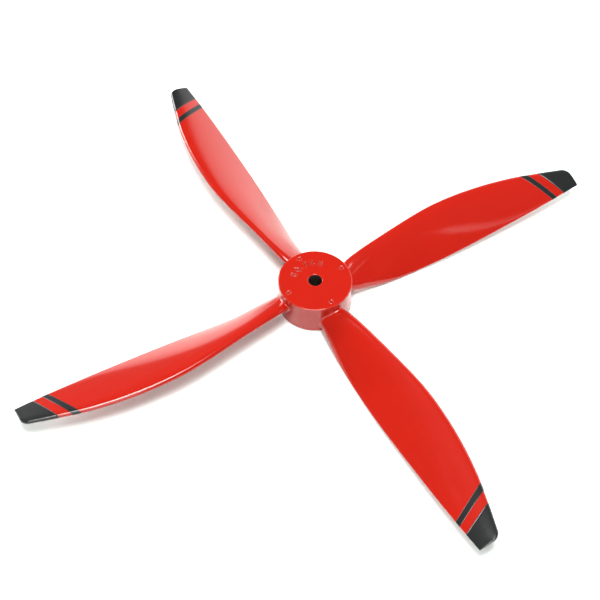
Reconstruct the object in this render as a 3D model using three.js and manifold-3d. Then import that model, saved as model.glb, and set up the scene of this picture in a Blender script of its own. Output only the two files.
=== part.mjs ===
// A fixed-pitch wooden propeller with four blades, in millimetres.
// The shaft bore lies on Z. +Z is the front, and the rear face of the hub is at z = 0.
// The propeller is glued up from flat layers. Each of the five blade layers is a cross: one long
// board that makes two opposite blades, and two half boards that butt against its sides inside
// the hub. The long board turns by 90 degrees from one layer to the next, so every butt joint is
// bridged by a long board. A plain disc closes the hub in front, and four dowels pin the stack.
import * as THREE from "three";
import { mergeVertices } from "three/addons/utils/BufferGeometryUtils.js";
import Module from "manifold-3d";

const wasm = await Module();
wasm.setup();

const inch = 25.4;
const tipRadius = (14.5 * inch) / 2;
const pitch = 9 * inch;
const bladeCount = 4;

const hubRadius = 21.6;
const hubHeight = 20.4;
const hubRimChamfer = 0.5;
const hubSides = 48;
const boreRadius = 4;

const frontDiscHeight = 2.4;
const layerCount = 5; // the crossed layers behind the front disc
const layerHeight = (hubHeight - frontDiscHeight) / layerCount;
const buttJointOffset = 13; // from the shaft axis to the side of a long board inside the hub

const dowelRadius = 1.35;
const dowelHoleRadius = 1.5;
const dowelCircleRadius = 17.85;
const dowelSides = 12;

const bladeStart = 12; // inside the hub
const bladeStations = 16;
const stationCrowding = 1.6; // above 1 the stations lie closer together towards the tip
const sectionPoints = 20;
const crownFullness = 0.85; // below 1 the front face swells sooner from both edges
const twistHoldRadius = 51; // inside this radius the blade stops following the helix
const twistHoldPower = 10;
const noseCornerRadius = 3.5;

// Each curve lists [radius, value], and smoothAt() runs a smooth line through its points.
const leadingEdgeAcross = [
  [20, 4.4],
  [28, 6.9],
  [40, 9.1],
  [50, 10.6],
  [80, 15.1],
  [98, 16.4],
  [122, 15.1],
  [146, 11.1],
  [164, 6],
  [tipRadius, -0.5],
];
const leadingEdgeHeight = [
  [20, 10.8],
  [30, 13.3],
  [50, 15.6],
  [70, 15.5],
  [104, 14.8],
  [140, 14.2],
  [tipRadius, 13.3],
];
const trailingEdgeAcross = [
  [20, -6.2],
  [28, -8.1],
  [40, -10.3],
  [50, -11.6],
  [65, -12.9],
  [90, -14.1],
  [128, -14.4],
  [160, -14],
  [tipRadius, -12.9],
];
// How far the nose stands in front of the pitch line.
const noseLift = [
  [20, 3.6],
  [34, 2.6],
  [50, 1.4],
  [75, 1],
  [110, 0.6],
  [140, 0.2],
  [tipRadius, 0],
];
const noseRadius = [[20, 1.6], [60, 1.3], [100, 1.1], [150, 1.05], [tipRadius, 0.85]];
const trailingRadius = [[20, 4.2], [34, 2.8], [50, 1.2], [70, 0.6], [tipRadius, 0.45]];
const crownHeight = [[20, 2.9], [34, 2.7], [60, 2.4], [100, 2.3], [140, 1.6], [tipRadius, 0.7]];
const bellyDepth = [[20, 0.9], [60, 0.8], [100, 0.25], [tipRadius, 0.1]];
const crownPlace = [[20, 0.55], [80, 0.4], [tipRadius, 0.38]];

const cutterReach = tipRadius + 10; // past the whole propeller
const cutterMargin = 1; // past the faces of a layer or of the hub
const drillLength = 3 * hubHeight; // well out of both faces of the hub
const weldDistance = 1e-4; // points closer than this become one

const paintedWood = { color: 0xe02c1c, roughness: 0.3, metalness: 0 };
const paintedDowel = { color: 0xd8301f, roughness: 0.35, metalness: 0 };

// A cubic through the listed points, with slopes taken from each point's neighbours.
function smoothAt(points, radius) {
  if (radius <= points[0][0]) {
    return points[0][1];
  }
  const last = points.length - 1;
  let i = 0;
  while (i < last - 1 && radius > points[i + 1][0]) {
    i += 1;
  }
  const slope = (k) => {
    const before = points[Math.max(k - 1, 0)];
    const after = points[Math.min(k + 1, last)];
    return (after[1] - before[1]) / (after[0] - before[0]);
  };
  const [r0, v0] = points[i];
  const [r1, v1] = points[i + 1];
  const span = r1 - r0;
  const t = (radius - r0) / span;
  const rise = v1 - v0;
  const startBend = slope(i) * span - rise;
  const endBend = rise - slope(i + 1) * span;
  return v0 + t * rise + t * (1 - t) * ((1 - t) * startBend + t * endBend);
}

// The helix of the pitch outboard, fading to one held angle towards the hub.
function twistSlope(radius) {
  const power = twistHoldPower;
  const heldRadius = (radius ** power + twistHoldRadius ** power) ** (1 / power);
  return pitch / (2 * Math.PI * heldRadius);
}

// How far the rounded corner of the tip takes the leading edge back at this radius.
function cornerCut(radius) {
  const past = Math.max(radius - (tipRadius - noseCornerRadius), 0);
  return noseCornerRadius - Math.sqrt(Math.max(noseCornerRadius ** 2 - past ** 2, 0));
}

// A point of the blade section for a blade along +X. turn runs once round the section, from the
// leading edge over the front face to the trailing edge, and back along the rear face.
function sectionPoint(radius, turn) {
  const leadY = smoothAt(leadingEdgeAcross, radius);
  const leadZ = smoothAt(leadingEdgeHeight, radius);
  const trailY = smoothAt(trailingEdgeAcross, radius);
  const trailZ = leadZ - twistSlope(radius) * (leadY - trailY);
  const kept = 1 - cornerCut(radius) / (leadY - trailY);
  const rise = leadZ + smoothAt(noseLift, radius) - trailZ;
  const lead = new THREE.Vector2(leadY - trailY, rise).multiplyScalar(kept);
  const chord = lead.length();
  const along = (1 - Math.cos(2 * Math.PI * turn)) / 2;
  const edge = THREE.MathUtils.lerp(smoothAt(noseRadius, radius), smoothAt(trailingRadius, radius), along);
  const plate = edge * Math.sqrt(Math.max(1 - Math.abs(2 * along - 1) ** (chord / edge), 0));
  const warped = along ** (Math.log(0.5) / Math.log(smoothAt(crownPlace, radius)));
  const crown = smoothAt(crownHeight, radius) * (4 * warped * (1 - warped)) ** crownFullness;
  const belly = smoothAt(bellyDepth, radius) * 4 * along * (1 - along);
  const offset = turn < 0.5 ? plate + crown : -plate - belly;
  const y = trailY + lead.x * (1 - along) - (lead.y / chord) * offset;
  const z = trailZ + lead.y * (1 - along) + (lead.x / chord) * offset;
  return new THREE.Vector3(radius, y, z);
}

function solidFrom(geometry) {
  geometry.deleteAttribute("normal");
  geometry.deleteAttribute("uv");
  const merged = mergeVertices(geometry, weldDistance);
  return new wasm.Manifold(
    new wasm.Mesh({
      numProp: 3,
      vertProperties: new Float32Array(merged.attributes.position.array),
      triVerts: new Uint32Array(merged.index.array),
    }),
  );
}

function meshFrom(name, solid, look) {
  const made = solid.getMesh();
  const geometry = new THREE.BufferGeometry();
  geometry.setAttribute("position", new THREE.BufferAttribute(made.vertProperties, 3));
  geometry.setIndex(new THREE.BufferAttribute(made.triVerts, 1));
  geometry.computeVertexNormals();
  const mesh = new THREE.Mesh(geometry, new THREE.MeshStandardMaterial(look));
  mesh.name = name;
  return mesh;
}

// A closed tube of sides, reshaped ring by ring. The rings crowd together towards the tip.
function bladeSolid(angle) {
  const geometry = new THREE.CylinderGeometry(1, 1, 1, sectionPoints, bladeStations);
  const place = geometry.getAttribute("position");
  const at = new THREE.Vector3();
  for (let i = 0; i < place.count; i += 1) {
    at.fromBufferAttribute(place, i);
    const share = at.y + 0.5;
    const radius = tipRadius - (tipRadius - bladeStart) * (1 - share) ** stationCrowding;
    const onAxis = Math.hypot(at.x, at.z) < 0.5; // the middle of an end face
    const turn = (Math.atan2(at.x, at.z) / (2 * Math.PI) + 1) % 1;
    const point = onAxis
      ? sectionPoint(radius, 0.25).add(sectionPoint(radius, 0.75)).multiplyScalar(0.5)
      : sectionPoint(radius, Math.round(turn * sectionPoints) / sectionPoints);
    place.setXYZ(i, point.x, point.y, point.z);
  }
  geometry.rotateZ(angle);
  return solidFrom(geometry);
}

function hubSolid() {
  const profile = [
    [boreRadius, 0],
    [hubRadius - hubRimChamfer, 0],
    [hubRadius, hubRimChamfer],
    [hubRadius, hubHeight - hubRimChamfer],
    [hubRadius - hubRimChamfer, hubHeight],
    [boreRadius, hubHeight],
    [boreRadius, 0],
  ].map(([radius, height]) => new THREE.Vector2(radius, height));
  const geometry = new THREE.LatheGeometry(profile, hubSides);
  geometry.rotateX(Math.PI / 2);
  return solidFrom(geometry);
}

function roundBar(radius, height, sides) {
  const geometry = new THREE.CylinderGeometry(radius, radius, height, sides);
  geometry.rotateX(Math.PI / 2);
  return geometry;
}

function boxSolid(low, high) {
  const size = high.map((value, axis) => value - low[axis]);
  const geometry = new THREE.BoxGeometry(...size);
  geometry.translate(...low.map((value, axis) => value + size[axis] / 2));
  return solidFrom(geometry);
}

function layerSlab(body, low, high) {
  return body.intersect(boxSolid([-cutterReach, -cutterReach, low], [cutterReach, cutterReach, high]));
}

function bladeAngle(index) {
  return (index * 2 * Math.PI) / bladeCount;
}

function dowelAt(index, radius, height) {
  const geometry = roundBar(radius, height, dowelSides);
  geometry.translate(dowelCircleRadius, 0, hubHeight / 2);
  geometry.rotateZ(bladeAngle(index));
  return solidFrom(geometry);
}

function wholePropeller() {
  let body = hubSolid();
  for (let i = 0; i < bladeCount; i += 1) {
    body = body.add(bladeSolid(bladeAngle(i)));
  }
  body = body.subtract(solidFrom(roundBar(boreRadius, drillLength, hubSides)));
  for (let i = 0; i < bladeCount; i += 1) {
    body = body.subtract(dowelAt(i, dowelHoleRadius, drillLength));
  }
  return body;
}

// The largest of a solid's separate pieces, which leaves out splinters thinner than a shaving.
function mainPiece(solid) {
  return solid.decompose().sort((a, b) => b.volume() - a.volume())[0];
}

// The half of the propeller past the butt joint, on the side of the given blade.
function halfBoardSpace(index, low, high) {
  const side = hubRadius + cutterMargin;
  const axis = index % 2;
  const sign = index < 2 ? 1 : -1;
  const near = [-side, -side];
  const far = [side, side];
  near[axis] = sign > 0 ? buttJointOffset : -cutterReach;
  far[axis] = sign > 0 ? cutterReach : -buttJointOffset;
  return boxSolid([...near, low], [...far, high]);
}

const propeller = new THREE.Group();
const body = wholePropeller();

for (let layer = 0; layer < layerCount; layer += 1) {
  const low = layer * layerHeight;
  const high = low + layerHeight;
  const slab = layerSlab(body, low, high);
  const firstHalf = (layer + 1) % 2;
  let longBoard = slab;
  for (const blade of [firstHalf, firstHalf + 2]) {
    const space = halfBoardSpace(blade, low - cutterMargin, high + cutterMargin);
    const name = `layer_${layer + 1}_half_board_blade_${blade + 1}`;
    propeller.add(meshFrom(name, mainPiece(slab.intersect(space)), paintedWood));
    longBoard = longBoard.subtract(space);
  }
  propeller.add(meshFrom(`layer_${layer + 1}_long_board`, mainPiece(longBoard), paintedWood));
}

const disc = layerSlab(body, layerCount * layerHeight, hubHeight + cutterMargin);
propeller.add(meshFrom("hub_front_disc", mainPiece(disc), paintedWood));

for (let i = 0; i < bladeCount; i += 1) {
  propeller.add(meshFrom(`hub_dowel_${i + 1}`, dowelAt(i, dowelRadius, hubHeight), paintedDowel));
}

export default propeller;
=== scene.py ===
import math

import bpy
import numpy as np
from mathutils import Matrix, Vector


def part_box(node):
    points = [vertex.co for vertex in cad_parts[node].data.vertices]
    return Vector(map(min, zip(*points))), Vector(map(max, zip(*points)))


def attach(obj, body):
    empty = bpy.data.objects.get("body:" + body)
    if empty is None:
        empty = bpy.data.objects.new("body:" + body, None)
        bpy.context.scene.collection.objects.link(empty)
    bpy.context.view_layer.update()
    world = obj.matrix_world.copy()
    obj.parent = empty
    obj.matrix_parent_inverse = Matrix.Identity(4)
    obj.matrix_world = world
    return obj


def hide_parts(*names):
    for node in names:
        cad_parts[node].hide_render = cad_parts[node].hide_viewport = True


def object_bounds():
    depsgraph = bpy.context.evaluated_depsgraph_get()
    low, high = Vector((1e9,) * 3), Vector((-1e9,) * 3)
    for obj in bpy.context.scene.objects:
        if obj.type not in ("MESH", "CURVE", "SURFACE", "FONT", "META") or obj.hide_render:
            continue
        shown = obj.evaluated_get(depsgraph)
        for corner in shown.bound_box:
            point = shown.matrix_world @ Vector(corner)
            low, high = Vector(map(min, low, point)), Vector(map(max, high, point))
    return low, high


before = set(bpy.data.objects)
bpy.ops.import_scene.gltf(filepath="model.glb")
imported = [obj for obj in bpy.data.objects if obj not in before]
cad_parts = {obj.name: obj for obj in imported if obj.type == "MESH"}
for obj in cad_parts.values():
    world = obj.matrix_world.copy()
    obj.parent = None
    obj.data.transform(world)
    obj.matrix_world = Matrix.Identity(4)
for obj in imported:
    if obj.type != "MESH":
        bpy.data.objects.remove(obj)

# A four-blade wooden propeller in glossy red lacquer with charcoal tips.
# Sizes here are in millimetres, turned to metres when a mesh is made.
toMetres = 0.001
cadBox = [[float(value) for value in corner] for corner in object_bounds()]
tipRadius = cadBox[1][0] / toMetres
hubHeight = cadBox[1][2] / toMetres
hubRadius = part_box("hub_front_disc")[1][0] / toMetres
bladeCount = 4


# Each curve lists (radius, value); smoothAt runs a smooth line through the points.
bladeShape = {
    "pitch": 228.6,
    "twistHoldRadius": 51.0,
    "twistHoldPower": 10,
    "leadAcross": [
        (20, 4.4), (28, 6.9), (40, 9.1), (50, 10.6), (80, 15.1),
        (98, 16.4), (122, 15.1), (146, 11.1), (164, 6), (tipRadius, -0.5),
    ],
    "leadHeight": [
        (20, 10.8), (30, 13.3), (50, 15.6), (70, 15.5),
        (104, 14.8), (140, 14.2), (tipRadius, 13.3),
    ],
    "trailAcross": [
        (20, -6.2), (28, -8.1), (40, -10.3), (50, -11.6), (65, -12.9),
        (90, -14.1), (128, -14.4), (160, -14), (tipRadius, -12.9),
    ],
    "noseLift": [(20, 3.6), (34, 2.6), (50, 1.4), (75, 1), (110, 0.6), (140, 0.2), (tipRadius, 0)],
    "noseRadius": [(20, 1.6), (60, 1.3), (100, 1.1), (150, 1.05), (tipRadius, 0.85)],
    "trailRadius": [(20, 4.2), (34, 2.8), (50, 1.2), (70, 0.6), (tipRadius, 0.45)],
    "crownHeight": [(20, 2.9), (34, 2.7), (60, 2.4), (100, 2.3), (140, 1.6), (tipRadius, 0.7)],
    "crownPlace": [(20, 0.55), (80, 0.4), (tipRadius, 0.38)],
    "crownFullness": 0.85,
    "bellyDepth": [(20, 0.9), (60, 0.8), (100, 0.25), (tipRadius, 0.1)],
    "cornerRadius": 3.5,
    "rootFillet": 1.2,
    "rootSunk": 0.6,  # how far the blade runs on into the hub
    "wallFollowFrom": 34,  # nearer than this the loops start to follow the round wall
    "wallFollowOver": 12,
    "endRound": 0.35,
    "sectionPoints": 96,
    "filletRings": 9,
    "bodyRings": 90,
    "cornerRings": 14,
    "endRings": 6,
}


def smoothAt(points, radius):
    table = np.array(points, float)
    at, value = table[:, 0], table[:, 1]
    slope = np.empty_like(value)
    slope[1:-1] = (value[2:] - value[:-2]) / (at[2:] - at[:-2])
    slope[0] = (value[1] - value[0]) / (at[1] - at[0])
    slope[-1] = (value[-1] - value[-2]) / (at[-1] - at[-2])
    held = np.clip(radius, at[0], at[-1])
    i = np.clip(np.searchsorted(at, held, "right") - 1, 0, len(at) - 2)
    span = at[i + 1] - at[i]
    t = (held - at[i]) / span
    rise = value[i + 1] - value[i]
    startBend = slope[i] * span - rise
    endBend = rise - slope[i + 1] * span
    return value[i] + t * rise + t * (1 - t) * ((1 - t) * startBend + t * endBend)


def sectionAt(radius, turn):
    # once round the section: nose, front face, trailing edge, rear face
    shape = bladeShape
    leadY = smoothAt(shape["leadAcross"], radius)
    leadZ = smoothAt(shape["leadHeight"], radius)
    trailY = smoothAt(shape["trailAcross"], radius)
    power = shape["twistHoldPower"]
    heldRadius = (radius ** power + shape["twistHoldRadius"] ** power) ** (1 / power)
    trailZ = leadZ - shape["pitch"] / (2 * math.pi * heldRadius) * (leadY - trailY)
    leadZ = leadZ + smoothAt(shape["noseLift"], radius)
    corner = shape["cornerRadius"]
    past = np.clip(radius - (tipRadius - corner), 0, corner)
    kept = 1 - (corner - np.sqrt(corner ** 2 - past ** 2)) / (leadY - trailY)
    acrossY, acrossZ = (leadY - trailY) * kept, (leadZ - trailZ) * kept
    chord = np.hypot(acrossY, acrossZ)
    along = (1 - np.cos(2 * math.pi * turn)) / 2
    nose, trail = smoothAt(shape["noseRadius"], radius), smoothAt(shape["trailRadius"], radius)
    edge = nose * (1 - along) + trail * along
    plate = edge * np.sqrt(np.clip(1 - np.abs(2 * along - 1) ** (chord / edge), 0, 1))
    warped = along ** (math.log(0.5) / np.log(smoothAt(shape["crownPlace"], radius)))
    hump = np.clip(4 * warped * (1 - warped), 0, 1) ** shape["crownFullness"]
    crown = smoothAt(shape["crownHeight"], radius) * hump
    belly = smoothAt(shape["bellyDepth"], radius) * 4 * along * (1 - along)
    offset = np.where(turn % 1 < 0.5, plate + crown, -plate - belly)
    y = trailY + acrossY * (1 - along) - acrossZ / chord * offset
    z = trailZ + acrossZ * (1 - along) + acrossY / chord * offset
    return y, z


def liftedSection(radius, turn, lift):
    # the section pushed outwards by lift, square to its own outline
    step = 1e-3
    y, z = sectionAt(radius, turn)
    y0, z0 = sectionAt(radius, turn - step)
    y1, z1 = sectionAt(radius, turn + step)
    size = np.hypot(y1 - y0, z1 - z0)
    return y + lift * (z1 - z0) / size, z - lift * (y1 - y0) / size


def wallDip(y, radius):
    # how far a loop near the hub bends back to follow the round wall
    shape = bladeShape
    fade = np.clip((shape["wallFollowFrom"] - radius) / shape["wallFollowOver"], 0, 1)
    wall = np.sqrt(np.clip(hubRadius ** 2 - y ** 2, 0, None)) - hubRadius
    return wall * fade * fade * (3 - 2 * fade)


def meshFromLoops(name, loops, closeStart, closeEnd, wrap=False):
    # loops of equal length become a skin; its ends are closed by fans or by wrapping round
    count = len(loops[0])
    points = np.concatenate(loops)
    faces = []
    rows = len(loops)
    for row in range(rows if wrap else rows - 1):
        a, b = row * count, (row + 1) % rows * count
        for i in range(count):
            j = (i + 1) % count
            faces.append((a + i, b + i, b + j, a + j))
    extra = []
    if closeStart:
        centre = len(points) + len(extra)
        extra.append(loops[0].mean(axis=0))
        faces += [((i + 1) % count, centre, i) for i in range(count)]
    if closeEnd:
        centre = len(points) + len(extra)
        extra.append(loops[-1].mean(axis=0))
        last = (rows - 1) * count
        faces += [(last + i, centre, last + (i + 1) % count) for i in range(count)]
    if extra:
        points = np.concatenate([points, np.array(extra)])
    mesh = bpy.data.meshes.new(name)
    mesh.from_pydata((points * toMetres).tolist(), [], faces)
    mesh.validate()
    mesh.shade_smooth()
    piece = bpy.data.objects.new(name, mesh)
    bpy.context.scene.collection.objects.link(piece)
    return piece


def facingOut(piece):
    # flips a closed skin whose faces point inwards
    mesh = piece.data
    mesh.calc_loop_triangles()
    corners = np.array([v.co for v in mesh.vertices])
    triangles = np.array([t.vertices for t in mesh.loop_triangles])
    a, b, c = (corners[triangles[:, k]] for k in range(3))
    if np.einsum("ij,ij->i", a, np.cross(b, c)).sum() < 0:
        mesh.flip_normals()
    return piece


# In radians per millimetre: where a bend starts to count as an edge or a corner, and how much
# more of it counts in full.
edgeMarks = {"from": 0.6, "over": 2.2}


def markEdges(piece):
    # stores how sharply the skin bends: out over edges (edgeBend) and into corners (cornerBend)
    mesh = piece.data
    points = np.empty(len(mesh.vertices) * 3, np.float32)
    normals = np.empty(len(mesh.vertices) * 3, np.float32)
    ends = np.empty(len(mesh.edges) * 2, np.int32)
    mesh.vertices.foreach_get("co", points)
    mesh.vertices.foreach_get("normal", normals)
    mesh.edges.foreach_get("vertices", ends)
    points, normals = points.reshape(-1, 3) / toMetres, normals.reshape(-1, 3)
    ends = ends.reshape(-1, 2)
    span = points[ends[:, 1]] - points[ends[:, 0]]
    turned = normals[ends[:, 1]] - normals[ends[:, 0]]
    bend = (span * turned).sum(axis=1) / np.maximum((span ** 2).sum(axis=1), 1e-6)
    outward, inward = np.zeros(len(points)), np.zeros(len(points))
    for side in (0, 1):
        np.maximum.at(outward, ends[:, side], bend)
        np.minimum.at(inward, ends[:, side], bend)
    for label, amount in (("edgeBend", outward), ("cornerBend", -inward)):
        stored = mesh.attributes.new(label, "FLOAT", "POINT")
        share = np.clip((amount - edgeMarks["from"]) / edgeMarks["over"], 0, 1)
        stored.data.foreach_set("value", share.astype(np.float32))


def makeBlade(name):
    shape = bladeShape
    fillet, endRound = shape["rootFillet"], shape["endRound"]
    turn = np.arange(shape["sectionPoints"]) / shape["sectionPoints"]
    loops = []

    def addLoop(sectionRadius, x, lift):
        y, z = liftedSection(np.full_like(turn, sectionRadius), turn, lift)
        loops.append(np.stack([x + wallDip(y, sectionRadius), y, z], axis=1))

    addLoop(hubRadius, hubRadius - shape["rootSunk"], fillet)
    for angle in np.linspace(math.pi / 2, 0, shape["filletRings"]):
        reach = fillet * (1 - math.sin(angle))
        addLoop(hubRadius + reach, hubRadius + reach, fillet * (1 - math.cos(angle)))
    bodyStart, bodyEnd = hubRadius + fillet, tipRadius - shape["cornerRadius"]
    for x in np.linspace(bodyStart, bodyEnd, shape["bodyRings"])[1:]:
        addLoop(x, x, 0)
    for angle in np.linspace(0, math.pi / 2, shape["cornerRings"])[1:]:
        x = bodyEnd + (shape["cornerRadius"] - endRound) * math.sin(angle)
        addLoop(x, x, 0)
    for angle in np.linspace(0, math.pi / 2, shape["endRings"])[1:]:
        x = tipRadius - endRound * (1 - math.sin(angle))
        addLoop(x, x, -endRound * (1 - math.cos(angle)))
    return facingOut(meshFromLoops(name, loops, True, True))


# Each mask line crosses the blade at a radius on its centre line and leans by this much per
# millimetre towards the leading edge.
tipPaint = {
    "thickness": 0.07,
    "sunk": 0.06,
    "edgeWidth": 0.22,
    "tipLine": {"at": 167.4, "lean": -0.407},
    "stripeInner": {"at": 157.9, "lean": -0.453},
    "stripeOuter": {"at": 161.8, "lean": -0.429},
    "innermost": 100,
    "tipRings": 28,
    "stripeRings": 9,
    "underRings": (0.75, 0.5, 0.25),
    "meetingRounds": 12,
}


def radiusOnLine(line, turn):
    # where a mask line meets the surface at each turn, found by coming closer round by round
    x = np.full_like(turn, line["at"])
    lastRadius = tipRadius - bladeShape["endRound"]
    for _ in range(tipPaint["meetingRounds"]):
        y, z = sectionAt(x, turn)
        x = np.clip(line["at"] + line["lean"] * y, tipPaint["innermost"], lastRadius)
    return x


def paintLoop(x, turn, lift):
    y, z = liftedSection(x, turn, lift)
    return np.stack([x, y, z], axis=1)


def makeStripe(name):
    paint = tipPaint
    turn = np.arange(bladeShape["sectionPoints"]) / bladeShape["sectionPoints"]
    inner = radiusOnLine(paint["stripeInner"], turn)
    outer = radiusOnLine(paint["stripeOuter"], turn)
    share = paint["edgeWidth"] / (paint["stripeOuter"]["at"] - paint["stripeInner"]["at"])
    loops = [paintLoop(inner, turn, -paint["sunk"])]
    flat = np.linspace(share, 1 - share, paint["stripeRings"])
    for t in np.concatenate([[0, share / 2], flat, [1 - share / 2, 1]]):
        edge = min(t, 1 - t) / share
        lift = paint["thickness"] * math.sqrt(1 - (1 - min(edge, 1)) ** 2)
        loops.append(paintLoop(inner + (outer - inner) * t, turn, lift))
    loops.append(paintLoop(outer, turn, -paint["sunk"]))
    for t in paint["underRings"]:
        loops.append(paintLoop(inner + (outer - inner) * t, turn, -paint["sunk"]))
    return facingOut(meshFromLoops(name, loops, False, False, wrap=True))


def makeTipPaint(name):
    paint, endRound = tipPaint, bladeShape["endRound"]
    turn = np.arange(bladeShape["sectionPoints"]) / bladeShape["sectionPoints"]
    start = radiusOnLine(paint["tipLine"], turn)
    lastRadius = np.full_like(turn, tipRadius - endRound)

    def side(film, edged):
        made = []
        for t in np.sin(np.linspace(0, math.pi / 2, paint["tipRings"])):
            x = start + (lastRadius - start) * t
            lift = film
            if edged:
                gone = np.clip((x - start) / paint["edgeWidth"], 0, 1)
                lift = film * np.sqrt(1 - (1 - gone) ** 2)
            made.append(paintLoop(x, turn, lift))
        for angle in np.linspace(0, math.pi / 2, bladeShape["endRings"])[1:]:
            x = lastRadius + endRound * math.sin(angle)
            y, z = liftedSection(x, turn, -endRound + (endRound + film) * math.cos(angle))
            made.append(np.stack([x + film * math.sin(angle), y, z], axis=1))
        return made

    under = side(-paint["sunk"], False)
    over = side(paint["thickness"], True)
    return facingOut(meshFromLoops(name, under[::-1] + over, True, True))


hubShape = {
    "boreRadius": 4.0,
    "boreChamfer": 0.35,
    "rimRound": 0.55,
    "sides": 720,
    "dowelCircle": 17.85,
    "dowelRadius": 1.35,
    # for each cut: its depth, half its width and how far its edge is softened
    "dowelRing": {"depth": 0.22, "inset": 0.1, "halfWidth": 0.1, "soft": 0.13},
    "endGrain": {"depth": 0.08, "inset": 0.4, "soft": 0.25},
    "markRadius": 12.7,
    "markDepth": 0.4,
    "tick": {"spread": 0.75, "reach": 1.75, "halfWidth": 0.18, "soft": 0.16},
    "lozenge": {"tall": 1.8, "wide": 1.15, "halfWidth": 0.17, "soft": 0.15},
    "dot": {"below": 1.4, "halfWidth": 0.35, "soft": 0.2},
    "markSpots": [
        (132.5, "pair"), (112.5, "lozenge"), (102.5, "dot"),
        (84.5, "pair"), (65.5, "lozenge"), (44.5, "pair"),
    ],
    # the sags' lower edges, as shares of the wall's height; a wave is (count, start, size)
    "sagDepth": 0.05,
    "sagLevel": 0.62,
    "sagWaves": [(5, 0.8, 0.2), (13, 2.1, 0.12)],
    "sagBead": 0.09,
    "sagFade": 12,
    "chamferPower": 1.6,
    # rings of points: inner ones as (past the bore, out to, how many), fine ones where it is cut
    "boreRings": 6,
    "wallRings": 28,
    "rimRings": 8,
    "frontRings": {"inner": (0.8, 9.6, 6), "fine": (9.8, 20.2, 0.15), "last": 20.6},
    "rearRings": {"first": 20.4, "fine": (19.8, 15.8, -0.2), "inner": (12, 8)},
}


def dent(distance, halfWidth, soft):
    # 1 inside a groove, falling smoothly to 0 past its edge
    t = np.clip((halfWidth + soft - distance) / (2 * soft), 0, 1)
    return t * t * (3 - 2 * t)


def dowelRelief(x, y):
    # a filled ring round each dowel, with the end grain sunk a hair
    shape = hubShape
    filled, grain = shape["dowelRing"], shape["endGrain"]
    drop = np.zeros_like(x)
    for i in range(bladeCount):
        angle = i * 2 * math.pi / bladeCount
        middleX = shape["dowelCircle"] * math.cos(angle)
        middleY = shape["dowelCircle"] * math.sin(angle)
        away = np.hypot(x - middleX, y - middleY)
        fromRing = np.abs(away - shape["dowelRadius"] + filled["inset"])
        drop += filled["depth"] * dent(fromRing, filled["halfWidth"], filled["soft"])
        drop += grain["depth"] * dent(away, shape["dowelRadius"] - grain["inset"], grain["soft"])
    return drop


def markRelief(x, y):
    # plain cut marks on an arc: paired ticks, lozenges and a dot
    shape = hubShape
    tick, lozenge, dot = shape["tick"], shape["lozenge"], shape["dot"]
    cut = np.zeros_like(x)
    for degrees, kind in shape["markSpots"]:
        angle = math.radians(degrees)
        outward = x * math.cos(angle) + y * math.sin(angle) - shape["markRadius"]
        sideways = y * math.cos(angle) - x * math.sin(angle)
        if kind == "pair":
            pastEnd = np.clip(np.abs(outward) - tick["reach"], 0, None)
            for shift in (-tick["spread"], tick["spread"]):
                away = np.hypot(pastEnd, sideways - shift)
                cut = np.maximum(cut, dent(away, tick["halfWidth"], tick["soft"]))
        elif kind == "lozenge":
            edge = np.abs(outward) / lozenge["tall"] + np.abs(sideways) / lozenge["wide"]
            cut = np.maximum(cut, dent(np.abs(edge - 1), lozenge["halfWidth"], lozenge["soft"]))
        else:
            away = np.hypot(outward + dot["below"], sideways)
            cut = np.maximum(cut, dent(away, dot["halfWidth"], dot["soft"]))
    return shape["markDepth"] * cut


def sagHollow(angle, depth):
    # the lacquer has sagged in soft curtains, full along their lower edges and hollow below
    shape = hubShape
    curtain = shape["sagLevel"]
    for count, start, size in shape["sagWaves"]:
        curtain = curtain + size * np.sin(count * angle + start)
    past = (depth - curtain) / shape["sagBead"]
    ends = min(depth, 1 - depth) * shape["sagFade"]
    hollow = 0.5 + 0.5 * np.tanh(past) - 0.9 * np.exp(-past ** 2)
    return shape["sagDepth"] * min(ends, 1) * hollow


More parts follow.
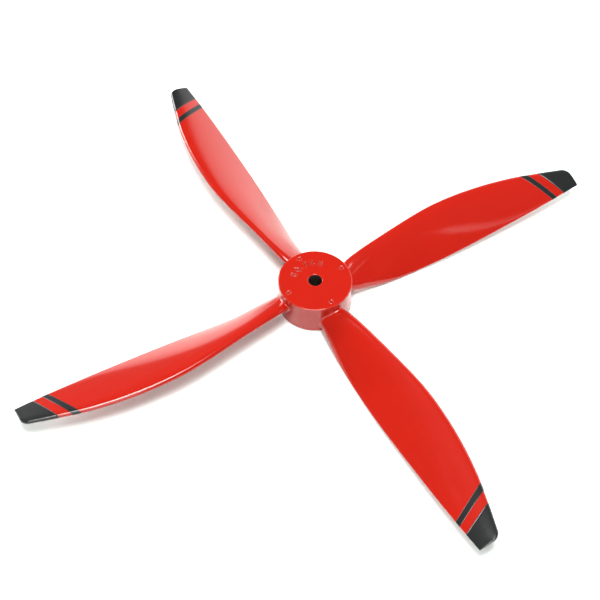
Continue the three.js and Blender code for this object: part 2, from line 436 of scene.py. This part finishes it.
def makeHub(name):
    shape = hubShape
    bore, chamfer, rim = shape["boreRadius"], shape["boreChamfer"], shape["rimRound"]
    angle = np.arange(shape["sides"]) * 2 * math.pi / shape["sides"]
    loops = []

    def ring(radius, height, relief=None, sign=1):
        x, y = radius * np.cos(angle), radius * np.sin(angle)
        drop = relief(x, y) if relief else np.zeros_like(x)
        loops.append(np.stack([x, y, height - sign * drop], axis=1))

    def frontRelief(x, y):
        return dowelRelief(x, y) + markRelief(x, y)

    # up the bore, out over the front face, down the wall and back in over the rear face
    faceEnd = hubRadius - rim
    front, rear = shape["frontRings"], shape["rearRings"]
    for height in np.linspace(chamfer, hubHeight - chamfer, shape["boreRings"]):
        ring(bore, height)
    for share in np.linspace(0, 1, 5)[1:]:
        ring(bore + chamfer * share, hubHeight - chamfer * (1 - share) ** shape["chamferPower"])
    pastBore, outTo, count = front["inner"]
    inner = np.linspace(bore + pastBore, outTo, count)
    for radius in np.concatenate([inner, np.arange(*front["fine"]), [front["last"]]]):
        ring(radius, hubHeight, frontRelief)
    for turn in np.linspace(0, math.pi / 2, shape["rimRings"]):
        ring(faceEnd + rim * math.sin(turn), hubHeight - rim * (1 - math.cos(turn)))
    for height in np.linspace(hubHeight - rim, rim, shape["wallRings"])[1:-1]:
        depth = (hubHeight - rim - height) / (hubHeight - 2 * rim)
        ring(hubRadius - sagHollow(angle, depth), height)
    for turn in np.linspace(math.pi / 2, 0, shape["rimRings"]):
        ring(faceEnd + rim * math.sin(turn), rim * (1 - math.cos(turn)))
    for radius in np.concatenate([[rear["first"]], np.arange(*rear["fine"]), rear["inner"]]):
        ring(radius, 0, dowelRelief, -1)
    for share in np.linspace(1, 0, 4)[:-1]:
        ring(bore + chamfer * share, chamfer * (1 - share) ** shape["chamferPower"])
    piece = facingOut(meshFromLoops(name, loops, False, False, wrap=True))
    # how far the front face is cut in, for the painted shade and pooled paint that darken the cuts
    cutDepth = piece.data.attributes.new("cutDepth", "FLOAT", "POINT")
    for point, vertex in zip(cutDepth.data, piece.data.vertices):
        x, y, z = (value / toMetres for value in vertex.co)
        fromAxis = math.hypot(x, y)
        onFront = z > hubHeight - 0.6 and bore + 0.7 < fromAxis < faceEnd
        point.value = min((hubHeight - z) / shape["markDepth"], 1) if onFront else 0
    # the bore's faces get the second finish, whose near-black colour is painted shade
    inBore = bore + 0.02  # faces inside this are bare wood, the second finish
    for polygon in piece.data.polygons:
        points = [piece.data.vertices[i].co for i in polygon.vertices]
        polygon.material_index = int(all(math.hypot(p.x, p.y) / toMetres < inBore for p in points))
    return piece


def groupWith(name, inputs, outputs):
    group = bpy.data.node_groups.new(name, "ShaderNodeTree")
    for label, kind, value in inputs:
        socket = group.interface.new_socket(name=label, in_out="INPUT", socket_type=kind)
        socket.default_value = value
    for label, kind in outputs:
        group.interface.new_socket(name=label, in_out="OUTPUT", socket_type=kind)
    return group, group.nodes.new("NodeGroupInput"), group.nodes.new("NodeGroupOutput")


def node(tree, kind, values=None, **settings):
    made = tree.nodes.new(kind)
    for key, value in settings.items():
        setattr(made, key, value)
    for key, value in (values or {}).items():
        made.inputs[key].default_value = value
    return made


def link(tree, pairs):
    for start, end in pairs:
        tree.links.new(start, end)


def sprayedSkin():
    # orange peel, wood grain under the film and a few dust nibs
    group, given, out = groupWith(
        "sprayedSkin",
        [
            ("Peel Size", "NodeSocketFloat", 1.0),
            ("Grain", "NodeSocketFloat", 0.4),
            ("Dust", "NodeSocketFloat", 0.5),
        ],
        [
            ("Height", "NodeSocketFloat"),
            ("Mottle", "NodeSocketFloat"),
            ("Grain Line", "NodeSocketFloat"),
        ],
    )
    place = node(group, "ShaderNodeTexCoord")
    peel = node(group, "ShaderNodeTexNoise", {"Detail": 2.0, "Roughness": 0.45})
    wide = node(group, "ShaderNodeTexNoise", {"Scale": 38.0, "Detail": 3.0, "Roughness": 0.5})
    stretch = node(group, "ShaderNodeMapping", {"Scale": (14.0, 420.0, 420.0)})
    fibres = node(group, "ShaderNodeTexNoise", {
        "Scale": 1.0, "Detail": 4.0, "Roughness": 0.6, "Distortion": 0.3,
    })
    nibs = node(group, "ShaderNodeTexVoronoi", {"Scale": 260.0, "Randomness": 1.0})
    nibShape = node(group, "ShaderNodeMapRange", {
        "From Min": 0.0, "From Max": 0.09, "To Min": 1.0, "To Max": 0.0,
    })
    peelScale = node(group, "ShaderNodeMath", {0: 900.0}, operation="DIVIDE")
    grainPart = node(group, "ShaderNodeMath", operation="MULTIPLY")
    dustPart = node(group, "ShaderNodeMath", operation="MULTIPLY")
    both = node(group, "ShaderNodeMath", operation="ADD")
    total = node(group, "ShaderNodeMath", operation="ADD")
    link(group, [
        (place.outputs["Object"], peel.inputs["Vector"]),
        (place.outputs["Object"], wide.inputs["Vector"]),
        (place.outputs["Object"], stretch.inputs["Vector"]),
        (place.outputs["Object"], nibs.inputs["Vector"]),
        (given.outputs["Peel Size"], peelScale.inputs[1]),
        (peelScale.outputs[0], peel.inputs["Scale"]),
        (stretch.outputs["Vector"], fibres.inputs["Vector"]),
        (nibs.outputs["Distance"], nibShape.inputs["Value"]),
        (fibres.outputs[0], grainPart.inputs[0]),
        (given.outputs["Grain"], grainPart.inputs[1]),
        (nibShape.outputs["Result"], dustPart.inputs[0]),
        (given.outputs["Dust"], dustPart.inputs[1]),
        (peel.outputs[0], both.inputs[0]),
        (grainPart.outputs[0], both.inputs[1]),
        (both.outputs[0], total.inputs[0]),
        (dustPart.outputs[0], total.inputs[1]),
        (total.outputs[0], out.inputs["Height"]),
        (wide.outputs[0], out.inputs["Mottle"]),
        (fibres.outputs[0], out.inputs["Grain Line"]),
    ])
    return group


def edgeRubLightAndShade():
    # lightens the edges in patches, partly handling wear and partly a painted highlight, and
    # darkens corners and cuts with painted shade, partly pooled paint
    group, given, out = groupWith(
        "edgeRubLightAndShade",
        [
            ("Edge", "NodeSocketFloat", 0.0),
            ("Corner", "NodeSocketFloat", 0.0),
            ("Cut", "NodeSocketFloat", 0.0),
        ],
        [("Rubbed And Lit", "NodeSocketFloat"), ("Pooled And Shaded", "NodeSocketFloat")],
    )
    place = node(group, "ShaderNodeTexCoord")
    broken = node(group, "ShaderNodeTexNoise", {"Scale": 300.0, "Detail": 3.0})
    patchy = node(group, "ShaderNodeMath", operation="MULTIPLY", use_clamp=True)
    partly = node(group, "ShaderNodeMath", {1: 0.6}, operation="MULTIPLY")
    deepest = node(group, "ShaderNodeMath", operation="MAXIMUM", use_clamp=True)
    link(group, [
        (place.outputs["Object"], broken.inputs["Vector"]),
        (given.outputs["Edge"], patchy.inputs[0]),
        (broken.outputs[0], patchy.inputs[1]),
        (patchy.outputs[0], out.inputs["Rubbed And Lit"]),
        (given.outputs["Corner"], partly.inputs[0]),
        (partly.outputs[0], deepest.inputs[0]),
        (given.outputs["Cut"], deepest.inputs[1]),
        (deepest.outputs[0], out.inputs["Pooled And Shaded"]),
    ])
    return group


skinGroup = sprayedSkin()
rubLightAndShadeGroup = edgeRubLightAndShade()


def paintFinish(name, look):
    material = bpy.data.materials.new(name)
    material.use_nodes = True
    tree = material.node_tree
    shader = tree.nodes["Principled BSDF"]
    for key in ("Specular IOR Level", "Coat Weight", "Coat Roughness", "Coat IOR"):
        shader.inputs[key].default_value = look[key]
    skin = node(tree, "ShaderNodeGroup", node_tree=skinGroup)
    skin.inputs["Peel Size"].default_value = look["peelSize"]
    skin.inputs["Grain"].default_value = look["grain"]
    skin.inputs["Dust"].default_value = look["dust"]
    rubLightAndShade = node(tree, "ShaderNodeGroup", node_tree=rubLightAndShadeGroup)
    for label, stored in (("Edge", "edgeBend"), ("Corner", "cornerBend"), ("Cut", "cutDepth")):
        mask = node(tree, "ShaderNodeAttribute", attribute_name=stored)
        link(tree, [(mask.outputs["Fac"], rubLightAndShade.inputs[label])])
    body = node(tree, "ShaderNodeMix", data_type="RGBA")
    body.inputs["A"].default_value = look["deep"]
    body.inputs["B"].default_value = look["bright"]
    # painted highlight: convex edges take the lighter edge colour in patches, partly as real wear
    wornAndLit = node(tree, "ShaderNodeMix", data_type="RGBA")
    wornAndLit.inputs["B"].default_value = look["edge"]
    # painted shade: corners and cuts take the darkest colour, partly as pooled paint
    pooledAndShaded = node(tree, "ShaderNodeMix", data_type="RGBA")
    pooledAndShaded.inputs["B"].default_value = look["poolAndShade"]
    gloss = node(tree, "ShaderNodeMapRange", {"From Min": 0.3, "From Max": 0.7})
    gloss.inputs["To Min"].default_value = look["roughness"][0]
    gloss.inputs["To Max"].default_value = look["roughness"][1]
    bump = node(tree, "ShaderNodeBump", {"Strength": look["bump"], "Distance": look["bumpDepth"]})
    link(tree, [
        (skin.outputs["Mottle"], body.inputs["Factor"]),
        (body.outputs["Result"], wornAndLit.inputs["A"]),
        (rubLightAndShade.outputs["Rubbed And Lit"], wornAndLit.inputs["Factor"]),
        (wornAndLit.outputs["Result"], pooledAndShaded.inputs["A"]),
        (rubLightAndShade.outputs["Pooled And Shaded"], pooledAndShaded.inputs["Factor"]),
        (pooledAndShaded.outputs["Result"], shader.inputs["Base Color"]),
        (skin.outputs["Grain Line"], gloss.inputs["Value"]),
        (gloss.outputs["Result"], shader.inputs["Roughness"]),
        (skin.outputs["Height"], bump.inputs["Height"]),
        (bump.outputs["Normal"], shader.inputs["Normal"]),
        (bump.outputs["Normal"], shader.inputs["Coat Normal"]),
    ])
    return material


redLacquer = paintFinish("redLacquer", {
    "deep": (0.35, 0.0066, 0.0014, 1), "bright": (0.4, 0.0082, 0.002, 1),
    # the edge colour is partly wear and partly a painted highlight; the darkest colour is painted
    # shade in corners and cuts, partly pooled paint
    "edge": (0.47, 0.035, 0.02, 1), "poolAndShade": (0.15, 0.004, 0.0015, 1),
    "roughness": (0.30, 0.42), "Specular IOR Level": 0.06,
    "Coat Weight": 1.0, "Coat Roughness": 0.08, "Coat IOR": 1.55,
    "peelSize": 1.0, "grain": 0.35, "dust": 0.25, "bump": 0.24, "bumpDepth": 0.0001,
})
charcoalPaint = paintFinish("charcoalPaint", {
    "deep": (0.0065, 0.0072, 0.008, 1), "bright": (0.010, 0.011, 0.012, 1),
    # the edge colour is partly wear and partly a painted highlight; the darkest colour is painted
    # shade in corners and cuts, partly pooled paint
    "edge": (0.05, 0.05, 0.05, 1), "poolAndShade": (0.005, 0.005, 0.005, 1),
    "roughness": (0.42, 0.55), "Specular IOR Level": 0.1,
    "Coat Weight": 0.8, "Coat Roughness": 0.13, "Coat IOR": 1.5,
    "peelSize": 0.8, "grain": 0.3, "dust": 0.2, "bump": 0.26, "bumpDepth": 0.0001,
})


# painted shade: the bore's bare wood is given a near-black colour for the shade inside it
boreShadeLook = {
    "deep": (0.006, 0.003, 0.002, 1),
    "pale": (0.03, 0.015, 0.008, 1),
    "fibreScale": (120.0, 120.0, 900.0),
    "roughness": (0.6, 0.85),
    "bump": 0.6,
    "bumpDepth": 0.0003,
}


def boreShadeFinish():
    # bare drilled wood, painted near black for the shade down the bore, with rings round the cut
    # layers
    material = bpy.data.materials.new("drilledWoodInShade")
    material.use_nodes = True
    tree = material.node_tree
    shader = tree.nodes["Principled BSDF"]
    place = node(tree, "ShaderNodeTexCoord")
    layers = node(tree, "ShaderNodeMapping", {"Scale": boreShadeLook["fibreScale"]})
    fibres = node(tree, "ShaderNodeTexNoise", {"Scale": 1.0, "Detail": 5.0, "Roughness": 0.65})
    tone = node(tree, "ShaderNodeMix", data_type="RGBA")
    tone.inputs["A"].default_value = boreShadeLook["deep"]
    tone.inputs["B"].default_value = boreShadeLook["pale"]
    bump = node(tree, "ShaderNodeBump", {
        "Strength": boreShadeLook["bump"], "Distance": boreShadeLook["bumpDepth"],
    })
    rough = node(tree, "ShaderNodeMapRange")
    rough.inputs["To Min"].default_value = boreShadeLook["roughness"][0]
    rough.inputs["To Max"].default_value = boreShadeLook["roughness"][1]
    link(tree, [
        (place.outputs["Object"], layers.inputs["Vector"]),
        (layers.outputs["Vector"], fibres.inputs["Vector"]),
        (fibres.outputs[0], tone.inputs["Factor"]),
        (tone.outputs["Result"], shader.inputs["Base Color"]),
        (fibres.outputs[0], bump.inputs["Height"]),
        (bump.outputs["Normal"], shader.inputs["Normal"]),
        (fibres.outputs[0], rough.inputs["Value"]),
        (rough.outputs["Result"], shader.inputs["Roughness"]),
    ])
    return material


drilledWoodInShade = boreShadeFinish()
print("finishes made")


cadNames = sorted(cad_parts)
longBoards = [name for name in cadNames if name.endswith("long_board")]
dowels = [name for name in cadNames if name.startswith("hub_dowel")]


def boardsOfBlade(number):
    # the boards that run out into one blade
    return [name for name in cadNames if name.endswith(f"half_board_blade_{number}")]


hub = makeHub("lacquered_hub")
markEdges(hub)
hub.data.materials.append(redLacquer)
hub.data.materials.append(drilledWoodInShade)
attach(hub, "root")
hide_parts("hub_front_disc", *longBoards, *dowels)
print("hub turned")

for index in range(bladeCount):
    number = index + 1
    facing = Matrix.Rotation(index * 2 * math.pi / bladeCount, 4, "Z")
    pieces = [
        (makeBlade(f"lacquered_blade_{number}"), redLacquer, "red_lacquer"),
        (makeStripe(f"painted_stripe_{number}"), charcoalPaint, "charcoal_paint"),
        (makeTipPaint(f"painted_tip_{number}"), charcoalPaint, "charcoal_paint"),
    ]
    for piece, finish, slotName in pieces:
        markEdges(piece)
        piece.data.materials.append(finish)
        piece.matrix_world = facing
        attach(piece, "root")
    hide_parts(*boardsOfBlade(number))
    print(f"blade {number} carved and painted")


# the studio is in metres and degrees; a softbox is given by where it stands, seen from the hub
studio = {
    "cameraAt": (-0.24375, -0.37498, 0.61556),
    "cameraAim": (-0.01086, -0.00142, 0.01),
    "cameraRoll": -1.386,
    "lens": 77.06,
    "floorRings": (0.4, 0.8, 1.6, 3.2, 9.0),
    "floorSides": 96,
    "floorDrop": 0.0002,
    "glowFrom": 0.55,
    "glowTo": 1.6,
    "farGlow": 1.1,
    "floorTone": (0.86, 0.92, 0.91, 1),
    "lightColor": (1.0, 0.985, 0.955),
    "skyLight": 0.12,
    "backdropTone": 1.0,
    "edgeSoftness": 0.22,
    "softboxes": {
        "topBox": {
            "azimuth": -125, "elevation": 84, "distance": 1.7, "size": (0.9, 0.9), "radiance": 23.0,
        },
        "rightBox": {
            "azimuth": 4, "elevation": 17, "distance": 1.6, "size": (3.3, 1.9), "radiance": 2.2,
        },
        "backBox": {
            "azimuth": 106, "elevation": 24, "distance": 1.8, "size": (0.9, 0.9), "radiance": 20.0,
        },
        "horizonBox": {
            "azimuth": 77, "elevation": 3, "distance": 2.0, "size": (2.2, 0.28), "radiance": 1.4,
        },
        "frontBox": {
            "azimuth": -114, "elevation": 36, "distance": 2.2, "size": (1.9, 1.8), "radiance": 3.3,
        },
        "sheenFront": {
            "azimuth": -41, "elevation": 56, "distance": 1.8, "size": (0.2, 0.14), "radiance": 1.3,
        },
        "sheenBack": {
            "azimuth": 115, "elevation": 62, "distance": 1.8, "size": (0.4, 0.14), "radiance": 1.0,
        },
    },
}


def makeCamera():
    camera = bpy.data.objects.new("camera", bpy.data.cameras.new("camera"))
    camera.data.lens = studio["lens"]
    camera.data.sensor_width = 36
    camera.data.clip_start = 0.01
    at, aim = Vector(studio["cameraAt"]), Vector(studio["cameraAim"])
    forward = (aim - at).normalized()
    right = forward.cross(Vector((0, 0, 1))).normalized()
    up = right.cross(forward)
    roll = math.radians(studio["cameraRoll"])
    tiltedUp = up * math.cos(roll) + right * math.sin(roll)
    tiltedRight = forward.cross(tiltedUp)
    facing = Matrix((tiltedRight, tiltedUp, -forward)).transposed().to_4x4()
    camera.matrix_world = Matrix.Translation(at) @ facing
    bpy.context.scene.collection.objects.link(camera)
    bpy.context.scene.camera = camera


def makeFloor():
    # a round sheet of white paper whose far parts have their own light
    sides = studio["floorSides"]
    angle = np.arange(sides) * 2 * math.pi / sides
    flat = np.full(sides, -studio["floorDrop"])
    loops = []
    for reach in studio["floorRings"]:
        loop = np.stack([reach * np.cos(angle), reach * np.sin(angle), flat], axis=1)
        loops.append(loop / toMetres)
    floor = meshFromLoops("floor", loops, True, False)
    material = bpy.data.materials.new("paleFloor")
    material.use_nodes = True
    tree = material.node_tree
    shader = tree.nodes["Principled BSDF"]
    shader.inputs["Base Color"].default_value = studio["floorTone"]
    shader.inputs["Roughness"].default_value = 0.9
    shader.inputs["Specular IOR Level"].default_value = 0.1
    shader.inputs["Emission Color"].default_value = (1, 1, 1, 1)
    place = node(tree, "ShaderNodeTexCoord")
    away = node(tree, "ShaderNodeVectorMath", operation="LENGTH")
    glow = node(tree, "ShaderNodeMapRange", {
        "From Min": studio["glowFrom"], "From Max": studio["glowTo"], "To Max": studio["farGlow"],
    }, interpolation_type="SMOOTHSTEP")
    link(tree, [
        (place.outputs["Object"], away.inputs[0]),
        (away.outputs["Value"], glow.inputs["Value"]),
        (glow.outputs["Result"], shader.inputs["Emission Strength"]),
    ])
    floor.data.materials.append(material)


def makeSoftbox(name, box):
    light = bpy.data.lights.new(name, "AREA")
    light.shape = "RECTANGLE"
    light.size, light.size_y = box["size"]
    light.energy = box["radiance"] * math.pi * light.size * light.size_y
    light.color = studio["lightColor"]
    light.use_nodes = True
    tree = light.node_tree
    surface = node(tree, "ShaderNodeNewGeometry")
    split = node(tree, "ShaderNodeSeparateXYZ")
    link(tree, [(surface.outputs["Parametric"], split.inputs[0])])
    faded = []
    for axis in ("X", "Y"):
        # 0 at both edges of the box, 1 in its middle
        swing = node(tree, "ShaderNodeMath", {1: 0.5}, operation="SUBTRACT")
        away = node(tree, "ShaderNodeMath", operation="ABSOLUTE")
        fade = node(tree, "ShaderNodeMapRange", {
            "From Min": 0.5, "From Max": 0.5 - studio["edgeSoftness"],
        }, interpolation_type="SMOOTHSTEP")
        link(tree, [
            (split.outputs[axis], swing.inputs[0]),
            (swing.outputs[0], away.inputs[0]),
            (away.outputs[0], fade.inputs["Value"]),
        ])
        faded.append(fade.outputs["Result"])
    both = node(tree, "ShaderNodeMath", operation="MULTIPLY")
    link(tree, [(faded[0], both.inputs[0]), (faded[1], both.inputs[1])])
    link(tree, [(both.outputs[0], tree.nodes["Emission"].inputs["Strength"])])
    made = bpy.data.objects.new(name, light)
    azimuth, elevation = math.radians(box["azimuth"]), math.radians(box["elevation"])
    away = Vector((
        math.cos(elevation) * math.cos(azimuth),
        math.cos(elevation) * math.sin(azimuth),
        math.sin(elevation),
    ))
    made.location = away * box["distance"]
    made.rotation_euler = away.to_track_quat("Z", "Y").to_euler()
    made.visible_camera = False
    bpy.context.scene.collection.objects.link(made)


def makeSky():
    world = bpy.data.worlds.new("sky")
    bpy.context.scene.world = world
    world.use_nodes = True
    tree = world.node_tree
    background = tree.nodes["Background"]
    background.inputs["Color"].default_value = (1, 1, 1, 1)
    seen = node(tree, "ShaderNodeLightPath")
    strength = node(tree, "ShaderNodeMapRange", {
        "To Min": studio["skyLight"], "To Max": studio["backdropTone"],
    })
    link(tree, [
        (seen.outputs["Is Camera Ray"], strength.inputs["Value"]),
        (strength.outputs["Result"], background.inputs["Strength"]),
    ])


makeCamera()
makeFloor()
makeSky()
for boxName, box in studio["softboxes"].items():
    makeSoftbox(boxName, box)
bpy.context.scene.view_settings.view_transform = "Standard"
print("studio lit")
